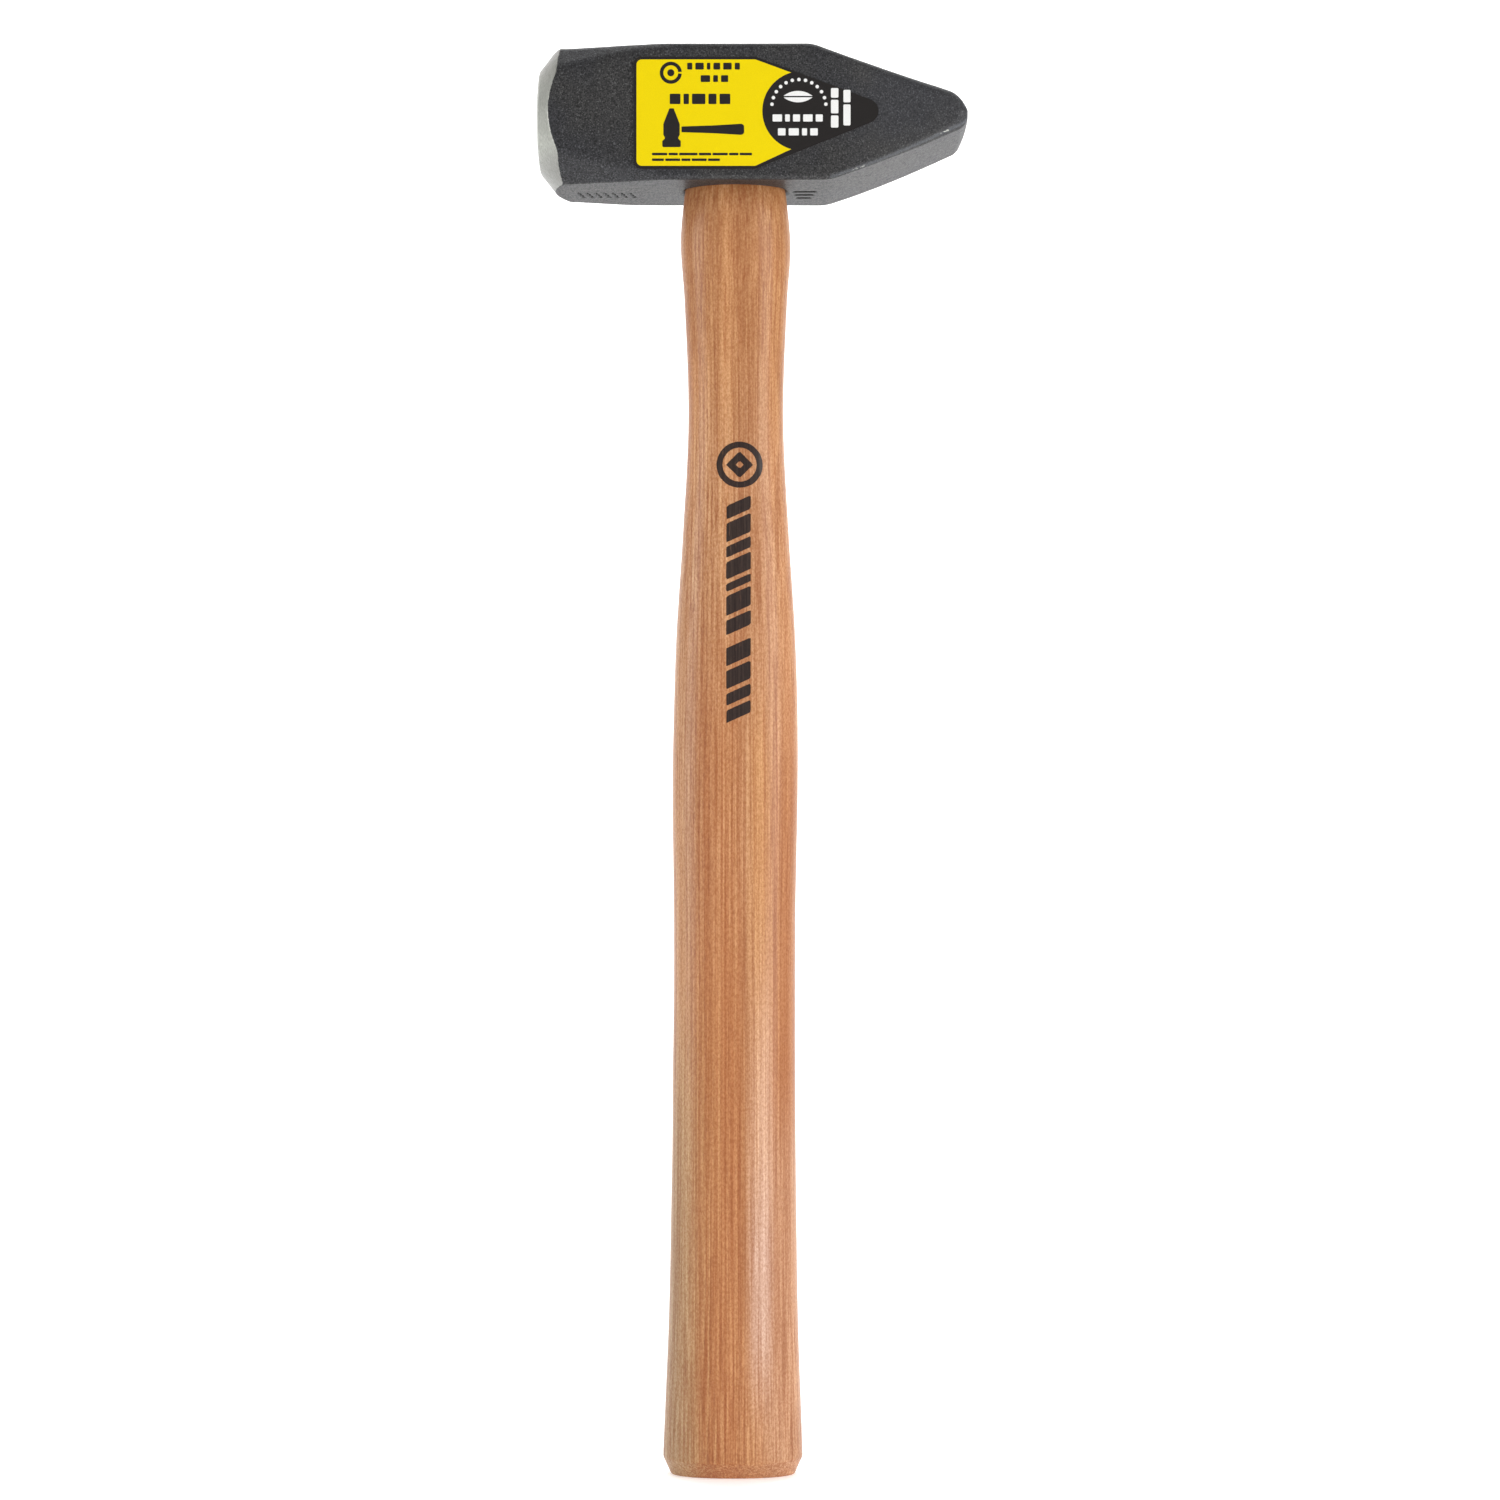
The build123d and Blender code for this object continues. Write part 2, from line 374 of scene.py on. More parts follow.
def eye_half(z, index):
    """Half the eye's opening at a height, narrowest at the waist."""
    mouth = z * (z - HALF_HEIGHT) / (EYE_MOUTH_AT * (EYE_MOUTH_AT - HALF_HEIGHT))
    waist = (z - EYE_MOUTH_AT) * (z - HALF_HEIGHT) / (EYE_MOUTH_AT * HALF_HEIGHT)
    top = (z - EYE_MOUTH_AT) * z / ((HALF_HEIGHT - EYE_MOUTH_AT) * HALF_HEIGHT)
    return EYE_MOUTH[index] * mouth + EYE_WAIST[index] * waist + EYE_TOP[index] * top


def eye_field(x, y, z):
    """Distance inside the oval eye, which has a waist and opens to a rim at its mouth."""
    inner = np.clip(z, EYE_MOUTH_AT, HALF_HEIGHT)
    rim = EYE_RIM * ramp((EYE_MOUTH_AT - z) / (HALF_HEIGHT + EYE_MOUTH_AT), EYE_RIM_SOFTNESS)
    a = eye_half(inner, 0) + rim
    b = eye_half(inner, 1) + rim
    return (1 - np.sqrt((x / a) ** 2 + (y / b) ** 2)) * b


def ground_and_bored(forged, x, y, z):
    """A forged body with the face ground and the eye cut through."""
    body = soft_max(forged, ground_field(x, y, z), GRIND_EDGE_REACH)
    return soft_max(body, eye_field(x, y, z), EYE_EDGE_REACH)


def plain_head(x, y, z):
    """The head with a smooth skin, from which the net of corners is made."""
    return ground_and_bored(forged_field(x, y, z), x, y, z)


def stroke(x, y, start, end, half_width):
    """Distance outside a straight stroke on the underside."""
    dx = end[0] - start[0]
    dy = end[1] - start[1]
    t = np.clip(((x - start[0]) * dx + (y - start[1]) * dy) / (dx * dx + dy * dy), 0, 1)
    return np.hypot(x - start[0] - t * dx, y - start[1] - t * dy) - half_width


def stamp_field(x, y, z):
    """Distance outside the tally strokes and short bars pressed into the underside."""
    nearest = np.full(np.shape(x), FAR)
    for k in range(TALLY_COUNT):
        left = TALLY_FROM + TALLY_PITCH * k
        tally = stroke(x, y, (left, 0.0), (left + TALLY_RUN[0], TALLY_RUN[1]), TALLY_HALF_WIDTH)
        nearest = np.minimum(nearest, tally)
    for k in range(BAR_COUNT):
        across = BAR_FROM + BAR_PITCH * k
        start = (BAR_ENDS[0] + BAR_SHIFTS[0] * k, across)
        end = (BAR_ENDS[1] - BAR_SHIFTS[1] * k, across)
        nearest = np.minimum(nearest, stroke(x, y, start, end, BAR_HALF_WIDTH))
    return np.where(z < -HALF_HEIGHT + PRESS_BAND, nearest, FAR)


def edge_place(x):
    """The depth and height of the peen's lower front edge, half way round its curve."""
    inset = edge_reach(x, -HALF_HEIGHT) * (1 - math.sqrt(0.5))
    height = (inset + peen_under(x, 0.0)) / math.cos(PEEN_UNDER_ANGLE)
    return inset - HALF_DEPTH, height


def chip_field(x, y, z):
    """Distance outside the small chips along the lower front edge of the peen."""
    nearest = np.full(np.shape(x), FAR)
    c = math.cos(PEEN_UNDER_ANGLE)
    s = math.sin(PEEN_UNDER_ANGLE)
    for place, radius in CHIPS:
        depth, height = edge_place(place)
        along = ((x - place) * c + (z - height) * s) / CHIP_STRETCH
        across = (z - height) * c - (x - place) * s
        nearest = np.minimum(nearest, np.sqrt(along**2 + across**2 + (y - depth) ** 2) - radius)
    return nearest


def brink_field(x, y, z):
    """How far a corner lies to the cheek's side of the peen's lower front edge, FAR away from it."""
    near = (x > PEEN_UNDER_FROM) & (y < BRINK_FRONT) & (z < BRINK_HIGH)
    return np.where(near, np.clip(-y - HALF_DEPTH - peen_under(x, z), -FAR, FAR), FAR)


def head_field(x, y, z):
    """The finished head: forged skin with shallow unevenness, chips and pressed strokes."""
    forged = forged_field(x, y, z)
    painted = ease(forged - ground_field(x, y, z), *SKIN_FADE)
    left, right = LABEL_PATCH
    under_label = ease(-y, *PATCH_DEPTH) * ease(x, *left) * (1 - ease(x, *right))
    skin = sum(height * waves(x, y, z, size) for height, size in SKIN)
    forged = forged + skin * painted * (1 - (1 - SKIN_UNDER_LABEL) * under_label)
    forged = forged + PRESS_DEPTH * ease(-stamp_field(x, y, z), *PRESS_FADE)
    forged = soft_max(forged, -chip_field(x, y, z), CHIP_EDGE_REACH)
    return ground_and_bored(forged, x, y, z)


def slope_of(field, points, reach):
    """The field's gradient at each point, by differences over reach."""
    columns = []
    for axis in range(3):
        move = np.zeros(3)
        move[axis] = reach
        columns.append((field(*(points + move).T) - field(*(points - move).T)) / (2 * reach))
    return np.column_stack(columns)


def settle(field, points, rounds):
    """Move points onto the surface where the field is zero."""
    for _ in range(rounds):
        slope = slope_of(field, points, SETTLE_PROBE)
        steep = np.maximum((slope**2).sum(1), 0.05)
        move = slope * (field(*points.T) / steep)[:, None]
        length = np.linalg.norm(move, axis=1, keepdims=True)
        points = points - move * np.minimum(1, LONGEST_MOVE / np.maximum(length, 1e-9))
    return points


def crossed_cells(values):
    """The grid cells that the surface crosses, and the mean of the crossings in each."""
    inside = values < 0
    corners = np.array([(a, b, c) for a in (0, 1) for b in (0, 1) for c in (0, 1)])
    size = np.array(values.shape) - 1
    count = sum(inside[a:a + size[0], b:b + size[1], c:c + size[2]].astype(int) for a, b, c in corners)
    cells = np.argwhere((count > 0) & (count < 8))
    found = values[tuple((cells[:, None, :] + corners[None]).transpose(2, 0, 1))]
    total = np.zeros((len(cells), 3))
    crossings = np.zeros((len(cells), 1))
    for i in range(8):
        for j in range(i + 1, 8):
            if np.abs(corners[i] - corners[j]).sum() != 1:
                continue
            start = found[:, i:i + 1]
            end = found[:, j:j + 1]
            crossed = (start < 0) != (end < 0)
            share = start / np.where(start == end, 1, start - end)
            total += np.where(crossed, corners[i] + share * (corners[j] - corners[i]), 0)
            crossings += crossed
    return cells, total / crossings


def net_faces(inside, index):
    """A quad round every grid edge that crosses the surface, turned to face outward."""
    faces = []
    for axis in range(3):
        one, two = np.eye(3, dtype=int)[np.roll(np.arange(3), -axis)[1:]]
        here = [slice(0, n) for n in inside.shape]
        here[axis] = slice(0, inside.shape[axis] - 1)
        beyond = list(here)
        beyond[axis] = slice(1, inside.shape[axis])
        edges = np.argwhere(inside[tuple(here)] != inside[tuple(beyond)])
        outward = inside[tuple(edges.T)]
        ring = [edges - one - two, edges - two, edges, edges - one]
        quad = np.column_stack([index[tuple(r.T)] for r in ring])
        faces.append(np.where(outward[:, None], quad, quad[:, ::-1]))
    return np.concatenate(faces)


def surface_net(field, low, high, step):
    """Quads over the surface where the field is zero, one corner in each crossed cell."""
    axes = [np.arange(low[i] - 1.5 * step, high[i] + 2.5 * step, step) for i in range(3)]
    values = field(*np.meshgrid(*axes, indexing="ij"))
    cells, places = crossed_cells(values)
    points = np.array([a[0] for a in axes]) + (cells + places) * step
    index = np.full(np.array(values.shape) - 1, -1)
    index[tuple(cells.T)] = np.arange(len(cells))
    return points, net_faces(values < 0, index)


# ---- mesh helpers


def store(obj, name, values):
    """Keep one value for each corner, which the materials read by name."""
    attribute = obj.data.attributes.new(name, "FLOAT", "POINT")
    attribute.data.foreach_set("value", np.asarray(values, np.float32))


def corners_of(obj):
    """The mesh's corners in millimetres."""
    flat = np.zeros(len(obj.data.vertices) * 3, np.float32)
    obj.data.vertices.foreach_get("co", flat)
    return flat.reshape(-1, 3).astype(float) / MM


def add_object(name, data):
    obj = bpy.data.objects.new(name, data)
    bpy.context.scene.collection.objects.link(obj)
    return obj


def new_object(name, points, faces, smooth=True):
    """A mesh object from corners in millimetres."""
    mesh = bpy.data.meshes.new(name)
    mesh.from_pydata((np.asarray(points) * MM).tolist(), [], [list(map(int, f)) for f in faces])
    mesh.validate()
    if smooth:
        mesh.shade_smooth()
    return add_object(name, mesh)


def loft(name, rings, smooth=True):
    """A closed solid through rings of corners, with a flat face on each end."""
    rings = np.asarray(rings, float)
    count, around = rings.shape[:2]
    index = np.arange(count * around).reshape(count, around)
    nxt = np.roll(index, -1, axis=1)
    quads = np.stack([index[:-1], nxt[:-1], nxt[1:], index[1:]], axis=-1).reshape(-1, 4)
    faces = [list(q) for q in quads] + [list(index[0][::-1]), list(index[-1])]
    return new_object(name, rings.reshape(-1, 3), faces, smooth)


def cut(obj, cutter):
    """Take the cutter out of the object."""
    modifier = obj.modifiers.new("cut", "BOOLEAN")
    modifier.operation = "DIFFERENCE"
    modifier.solver = "EXACT"
    modifier.object = cutter
    bpy.context.view_layer.update()
    shaped = bpy.data.meshes.new_from_object(obj.evaluated_get(bpy.context.evaluated_depsgraph_get()))
    obj.modifiers.clear()
    obj.data = shaped
    bpy.data.objects.remove(cutter)


def sharpen(obj, angle):
    """Smooth shading with creases where faces turn by more than the angle."""
    obj.data.shade_smooth()
    obj.data.set_sharp_from_angle(angle=math.radians(angle))


def finish_piece(obj, material, slot_name, *nodes):
    """Give a piece its material and body, and hide the CAD nodes that it replaces. The slot name is not
    used.
    """
    obj.data.materials.clear()
    obj.data.materials.append(material)
    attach(obj, "root")
    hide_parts(*nodes)


# ---- nodes


def srgb(red, green, blue):
    """A colour given as the eye sees it, from 0 to 255, as linear light."""
    parts = [c / 255 for c in (red, green, blue)]
    return [c / 12.92 if c <= 0.04045 else ((c + 0.055) / 1.055) ** 2.4 for c in parts] + [1.0]


class Graph:
    """The nodes of one material."""

    def __init__(self, name):
        self.material = bpy.data.materials.new(name)
        self.material.use_nodes = True
        self.tree = self.material.node_tree
        self.tree.nodes.clear()
        place = self.add("TexCoord", {}, "Object")
        self.place = self.add("VectorMath", {0: place, "Scale": 1 / MM}, operation="SCALE")

    def add(self, kind, inputs, output=0, **settings):
        made = self.tree.nodes.new("ShaderNode" + kind)
        for key, value in settings.items():
            setattr(made, key, value)
        for key, value in inputs.items():
            if isinstance(value, bpy.types.NodeSocket):
                self.tree.links.new(value, made.inputs[key])
            else:
                made.inputs[key].default_value = value
        return made.outputs[output]

    def math(self, operation, a, b=0.0):
        return self.add("Math", {0: a, 1: b}, operation=operation)

    def stretch(self, vector, x, y, z):
        return self.add("VectorMath", {0: vector, 1: (x, y, z)}, operation="MULTIPLY")

    def along(self, axis):
        """The place along one axis, in millimetres."""
        return self.add("SeparateXYZ", {0: self.place}, axis)

    def product(self, value, *others):
        for other in others:
            value = self.math("MULTIPLY", value, other)
        return value

    def noise(self, scale, detail=2.0, roughness=0.5, stretch=None):
        """Noise about 1 / scale across, and longer along the axes with a small stretch."""
        vector = self.stretch(self.place, *stretch) if stretch else self.place
        inputs = {"Vector": vector, "Scale": scale, "Detail": detail, "Roughness": roughness}
        return self.add("TexNoise", inputs)

    def fibres(self, across, along, detail=2.0, roughness=0.5):
        """Noise drawn out along the handle."""
        return self.noise(1.0, detail, roughness, (across, across, along))

    def swing(self, noise, amount):
        """A noise turned into values on both sides of zero."""
        return self.product(self.math("SUBTRACT", noise, 0.5), amount)

    def spread(self, value, low, high, start=0.0, end=1.0):
        """From start to end, smoothly, as the value goes from low to high."""
        inputs = {0: value, 1: low, 2: high, 3: start, 4: end}
        return self.add("MapRange", inputs, interpolation_type="SMOOTHSTEP")

    def mix(self, share, a, b, mode="MIX"):
        """From one colour to another, each a node's or (red, green, blue) as the eye sees it."""
        first, second = (srgb(*c) if isinstance(c, tuple) else c for c in (a, b))
        return self.add("Mix", {0: share, 6: first, 7: second}, 2, data_type="RGBA", blend_type=mode)

    def multiply(self, share, a, b):
        return self.mix(share, a, b, "MULTIPLY")

    def shade(self, tone, share, value, fade, start, end):
        """Multiply a tone by a colour from start to end as the value passes the fade."""
        return self.multiply(share, tone, self.mix(self.spread(value, *fade), start, end))

    def attribute(self, name):
        return self.add("Attribute", {}, "Fac", attribute_name=name)

    def bump(self, height, distance, strength=1.0, normal=None):
        inputs = {"Height": height, "Distance": distance, "Strength": strength}
        if normal is not None:
            inputs["Normal"] = normal
        return self.add("Bump", inputs)

    def surface(self, **inputs):
        named = {key.replace("_", " "): value for key, value in inputs.items()}
        shader = self.add("BsdfPrincipled", named)
        output = self.tree.nodes.new("ShaderNodeOutputMaterial")
        self.tree.links.new(shader, output.inputs["Surface"])
        return self.material


WHITE = srgb(255, 255, 255)


def paint_tone(g, grain, side, under):
    """Grainy black paint, with painted light making it a little lighter on the peen and painted shade making
    it darker on faces that look down.
    """
    speck = g.noise(2.7, 1.0)
    broad = g.noise(0.05)
    tone = g.mix(g.spread(grain, 0.36, 0.66), (36, 36, 37), (59, 59, 60))
    tone = g.mix(g.spread(speck, 0.57, 0.73), tone, (86, 86, 88))
    tone = g.mix(g.spread(speck, 0.43, 0.29), tone, (20, 20, 21))
    # Painted light: the paint turns a little lighter towards the peen.
    tone = g.mix(g.spread(side, 22.0, 46.0, 0.0, 0.15), tone, (92, 92, 94))
    # Painted shade: faces that look down are darker.
    tone = g.multiply(under, tone, (236, 236, 237))
    return g.shade(tone, 1.0, broad, (0.35, 0.65), (236, 237, 242), (255, 253, 248))


def painted_shade_and_sheen(g, paint, pressed, brink):
    """Paint with painted shade in the pressed strokes, a painted highlight along the rounded edges broken up
    by noise, and a painted bluish reflection along the peen's lower front edge.
    """
    # Painted highlight on the rounded edges of the cheeks, broken up by noise.
    edge = g.product(g.attribute("edge"), g.spread(g.noise(1.6, 3.0, 0.7), 0.5, 0.75))
    # Painted shade: the pressed strokes are darkened nearly to black.
    paint = g.mix(g.product(pressed, 0.85), paint, (8, 8, 8))
    paint = g.mix(g.product(edge, 0.2), paint, (120, 122, 126))
    # Painted reflection: a faint bluish line along the peen's lower front edge.
    return g.mix(g.product(g.spread(brink, 1.2, 0.2), 0.2), paint, (126, 130, 138))


def bare_tone(g, streak):
    """Ground steel, with painted shade that makes it darker towards the face's rim and at the top."""
    height = g.along("Z")
    rim = g.math("ABSOLUTE", g.math("SUBTRACT", height, HEAD_AXIS + GRIND_CENTRE))
    upper = g.spread(height, HEAD_AXIS + 5.0, HEAD_AXIS + 15.0)
    tone = g.mix(g.spread(streak, 0.3, 0.7), (153, 155, 148), (186, 187, 180))
    # Painted shade: the ground steel darkens towards the face's rim.
    tone = g.shade(tone, 1.0, rim, (6.0, 17.0), WHITE, (195, 194, 196))
    # Painted shade: the ground steel is darker at the top.
    return g.multiply(upper, tone, (220, 217, 213))


def chipped_share(g, side, brink):
    """Where the paint is broken off: along the brink, near each of the chips."""
    near = 0.0
    for place, radius in CHIPS:
        away = g.math("ABSOLUTE", g.math("SUBTRACT", side, place))
        near = g.math("MAXIMUM", near, g.spread(away, 4.4 * radius, 2.6 * radius))
    broken = g.spread(g.noise(1.1, 1.0), 0.42, 0.5)
    return g.product(near, g.spread(brink, 0.42, 0.24), broken)


def bare_share(g, side, brink):
    """Where the steel is bare: the ground face, with a wandering border, and the chips."""
    wander = g.swing(g.noise(0.9, 3.0, 0.6), 0.5)
    ground = g.spread(g.math("ADD", g.attribute("ground"), wander), 0.05, 0.19)
    return g.math("MAXIMUM", ground, chipped_share(g, side, brink))


def steel_gloss(g, side, under, bare, pressed):
    """How much the surface shines, less in the pressed strokes and in patches underneath."""
    mottle = g.noise(1.0, 3.0, 0.6, (1.3, 0.4, 1.3))
    patches = g.spread(mottle, 0.36, 0.64, 0.3, -0.3)
    dull = g.math("ADD", g.spread(side, -15.0, -30.0, 0.2, 0.37), patches)
    gloss = g.product(g.spread(bare, 0.0, 1.0, 0.24, 0.5), g.spread(pressed, 0.0, 1.0, 1.0, 0.05))
    return g.product(gloss, g.math("SUBTRACT", 1.0, g.product(dull, under)))


def forged_steel():
    """Dark grainy paint over forged steel, with a bare ground face and bright chips."""
    g = Graph("forged_steel")
    side = g.along("X")
    grain = g.noise(1.8, 3.0, 0.6)
    streak = g.noise(1.4, 4.0, 0.65, (0.25, 4.0, 0.8))
    scratch = g.noise(2.6, stretch=(0.6, 6.0, 0.5))
    under = g.spread(g.attribute("under"), 0.7, 0.92)
    pressed = g.spread(g.attribute("stamp"), 0.1, 0.9)
    brink = g.math("ABSOLUTE", g.math("ADD", g.attribute("brink"), g.swing(g.noise(1.7), 1.3)))
    bare = bare_share(g, side, brink)
    paint = painted_shade_and_sheen(g, paint_tone(g, grain, side, under), pressed, brink)
    skin = g.bump(g.noise(0.45), 0.00025, 0.5, g.bump(grain, 0.00009, 0.9))
    lines = g.bump(scratch, 0.00002, 0.5)
    normal = g.add("Mix", {0: bare, 4: skin, 5: lines}, 1, data_type="VECTOR")
    paint_rough = g.spread(grain, 0.3, 0.7, 0.5, 0.4)
    steel_rough = g.spread(streak, 0.3, 0.7, 0.42, 0.3)
    return g.surface(
        Base_Color=g.mix(bare, paint, bare_tone(g, streak)), Metallic=bare, Normal=normal,
        Roughness=g.add("Mix", {0: bare, 2: paint_rough, 3: steel_rough}),
        Specular_IOR_Level=steel_gloss(g, side, under, bare, pressed),
    )


def growth_band(g, height):
    """Share of dark early wood: rings about a far centre that wanders up the handle."""
    lean = g.math("ADD", g.product(height, 0.006), g.product(g.fibres(0.01, 0.006, 1.0), 5.0))
    centre = g.add("CombineXYZ", {"X": g.math("ADD", lean, 46.0), "Y": -24.0, "Z": 0.0})
    bent = g.add("VectorMath", {0: g.stretch(g.place, 1.0, 1.0, 0.0), 1: centre}, operation="ADD")
    ring = g.add("VectorMath", {0: bent}, 1, operation="LENGTH")
    ring = g.math("ADD", ring, g.product(g.fibres(0.2, 0.008), 1.5))
    phase = g.math("FRACT", g.math("DIVIDE", ring, 1.4))
    early = g.product(g.spread(phase, 0.0, 0.1), g.spread(phase, 0.75, 0.2))
    return g.product(early, g.spread(g.fibres(0.16, 0.006), 0.35, 0.65))


def base_tone(g, height):
    """Broad light and dark bands, paler in the middle of the handle."""
    middle = g.product(g.spread(height, 120.0, 180.0), g.spread(height, 330.0, 280.0))
    dark = g.mix(middle, (186, 136, 94), (196, 150, 112))
    pale = g.mix(middle, (206, 157, 112), (216, 172, 130))
    return g.mix(g.spread(g.fibres(0.11, 0.0035), 0.38, 0.62), pale, dark)


def right_tone(g, tone, height, side):
    """The peen side, in four stretches from butt to head, partly the wood's own tone and partly painted
    light, pale and pinkish at the bottom.
    """
    # Painted light: the bottom stretch of the peen side is pale and pinkish.
    right = g.mix(g.spread(height, 120.0, 80.0), (184, 124, 78), (208, 168, 138))
    right = g.mix(g.spread(height, 190.0, 225.0), right, (214, 164, 122))
    right = g.mix(g.spread(height, 285.0, 310.0), right, (194, 144, 96))
    return g.mix(g.product(g.spread(side, 3.0, 15.0), 0.58), tone, right)


def left_tone(g, tone, height, side, depth):
    """The face side: greyer and paler towards its edge from a painted reflection, most of all below, and
    browner in the neck from a painted shadow of the head.
    """
    # Painted reflection: the face side turns greyer and paler towards its edge.
    left = g.mix(g.spread(height, 150.0, 60.0), (198, 166, 136), (176, 158, 134))
    edge = g.product(g.spread(side, -7.0, -18.0), g.spread(height, 305.0, 265.0, 0.0, 0.46))
    tone = g.mix(g.product(edge, g.spread(depth, 9.0, 1.0, 0.3, 1.0)), tone, left)
    # Painted reflection: less red low on the face side.
    greyed = g.product(g.spread(side, 0.0, -9.0), g.spread(height, 150.0, 90.0))
    tone = g.multiply(g.product(greyed, g.spread(depth, 9.0, 1.0)), tone, (243, 255, 255))
    # Painted shadow: the head darkens the face side of the neck.
    neck = g.product(g.spread(side, -2.0, -11.0), g.spread(height, 310.0, 335.0, 0.0, 0.6))
    return g.mix(neck, tone, (178, 130, 88))


def core_tone(g, tone, height, side, depth, streak):
    """Three stripes up the grip: a red-brown core in the wood, and in front a painted highlight, pale and
    pinkish low down and golden higher up.
    """
    core = g.product(g.spread(side, -14.0, -8.0), g.spread(side, 5.0, -1.0))
    core = g.product(core, g.spread(height, 262.0, 200.0, 0.0, 0.72))
    tone = g.mix(g.product(core, g.spread(streak, 0.75, 0.35, 0.5, 1.0)), tone, (182, 120, 74))
    # The front strip that carries the painted highlight.
    front = g.product(g.spread(side, 2.0, 6.5), g.spread(side, 12.0, 8.0), g.spread(depth, 0.0, -5.0))
    # Painted highlight, pale and pinkish, in the lower grip.
    painted_low_highlight = g.product(front, g.spread(height, 170.0, 95.0), g.spread(height, 8.0, 45.0), 0.5)
    tone = g.mix(painted_low_highlight, tone, (216, 192, 186))
    # Painted highlight, golden and fainter, higher up the grip.
    painted_high_highlight = g.product(front, g.spread(height, 60.0, 100.0), g.spread(height, 232.0, 200.0), 0.3)
    return g.mix(painted_high_highlight, tone, (232, 182, 118))


def ink_tone(g, tone, fibre, pores):
    """The printed mark, ragged along the fibres and thinner over the pores."""
    edge = g.math("ADD", g.attribute("ink"), g.swing(fibre, 0.3))
    share = g.product(g.spread(edge, -0.06, 0.1), g.spread(pores, 0.2, 0.9, 0.97, 0.7))
    return g.mix(share, tone, g.mix(g.spread(fibre, 0.35, 0.7), (20, 14, 15), (40, 31, 30)))


def hickory():
    """Lacquered hickory: ring bands, long fibres, pore dashes and the printed mark."""
    g = Graph("hickory")
    height = g.along("Z")
    side = g.along("X")
    depth = g.along("Y")
    band = growth_band(g, height)
    streak = g.fibres(1.0, 0.005, 3.0, 0.6)
    fibre = g.fibres(2.0, 0.018, 2.0, 0.6)
    fine = g.fibres(2.1, 1.2, 2.0, 0.6)
    dash = g.fibres(2.2, 0.3, 1.5, 0.6)
    porous = g.product(g.spread(band, 0.0, 0.8, 0.4, 1.0), g.spread(side, 4.0, -12.0, 0.35, 1.0))
    pores = g.product(g.spread(dash, 0.55, 0.65), porous)
    tone = right_tone(g, base_tone(g, height), height, side)
    tone = left_tone(g, tone, height, side, depth)
    tone = core_tone(g, tone, height, side, depth, streak)
    tone = g.mix(g.product(band, 0.34), tone, (160, 104, 66))
    tone = g.shade(tone, 0.6, streak, (0.36, 0.62), (226, 202, 184), (255, 254, 250))
    tone = g.shade(tone, 0.8, fibre, (0.34, 0.66), (222, 202, 184), WHITE)
    tone = g.shade(tone, 0.9, fine, (0.32, 0.68), (222, 205, 190), WHITE)
    tone = g.mix(g.product(pores, 0.5), tone, (128, 72, 44))
    end_grain = g.attribute("end_grain")
    tone = g.mix(g.product(end_grain, 0.35), tone, (166, 114, 76))
    relief = g.math("SUBTRACT", g.product(fibre, 0.4), pores)
    return g.surface(
        Base_Color=ink_tone(g, tone, fibre, pores), Roughness=g.spread(fibre, 0.3, 0.7, 0.52, 0.42),
        Normal=g.bump(relief, 0.00004, 0.6), Specular_IOR_Level=0.15,
        Coat_Weight=g.spread(end_grain, 0.0, 1.0, 0.28, 0.1), Coat_Roughness=0.22,
    )


def wedge_wood():
    """Pale end grain of the hardwood wedge."""
    g = Graph("wedge_wood")
    grain = g.noise(1.2, 4.0, 0.6, (0.5, 3.0, 0.5))
    pores = g.spread(g.noise(3.5, 2.0), 0.6, 0.7)
    tone = g.mix(g.spread(grain, 0.3, 0.7), (186, 140, 98), (216, 176, 132))
    tone = g.mix(g.math("MULTIPLY", pores, 0.6), tone, (120, 78, 50))
    return g.surface(Base_Color=tone, Roughness=0.62, Normal=g.bump(grain, 0.0001, 0.6))


def wedge_steel():
    """Bare wedge steel with hammered scuffs."""
    g = Graph("wedge_steel")
    streak = g.noise(1.5, 4.0, 0.6, (4.0, 0.5, 0.7))
    spots = g.noise(1.1, 3.0, 0.6)
    tone = g.mix(g.spread(streak, 0.3, 0.7), (128, 128, 126), (168, 168, 164))
    tone = g.mix(g.spread(spots, 0.58, 0.7), tone, (92, 86, 78))
    return g.surface(
        Base_Color=tone, Metallic=0.95, Roughness=g.spread(streak, 0.3, 0.7, 0.48, 0.34),
        Normal=g.bump(spots, 0.00008, 0.6),
    )


def printed_film(name, colour, faded, roughness, gloss=0.3):
    """Printed label film: faint print grain and a soft ripple."""
    g = Graph(name)
    grain = g.noise(5.0, 2.0, 0.6)
    ripple = g.noise(0.16, 2.0)
    tone = g.mix(g.spread(grain, 0.3, 0.75), faded, colour)
    return g.surface(
        Base_Color=tone, Roughness=g.spread(grain, 0.3, 0.7, roughness + 0.06, roughness),
        Normal=g.bump(ripple, 0.00012, 0.4, g.bump(grain, 0.00001, 0.3)), Specular_IOR_Level=gloss,
    )


# ---- pieces


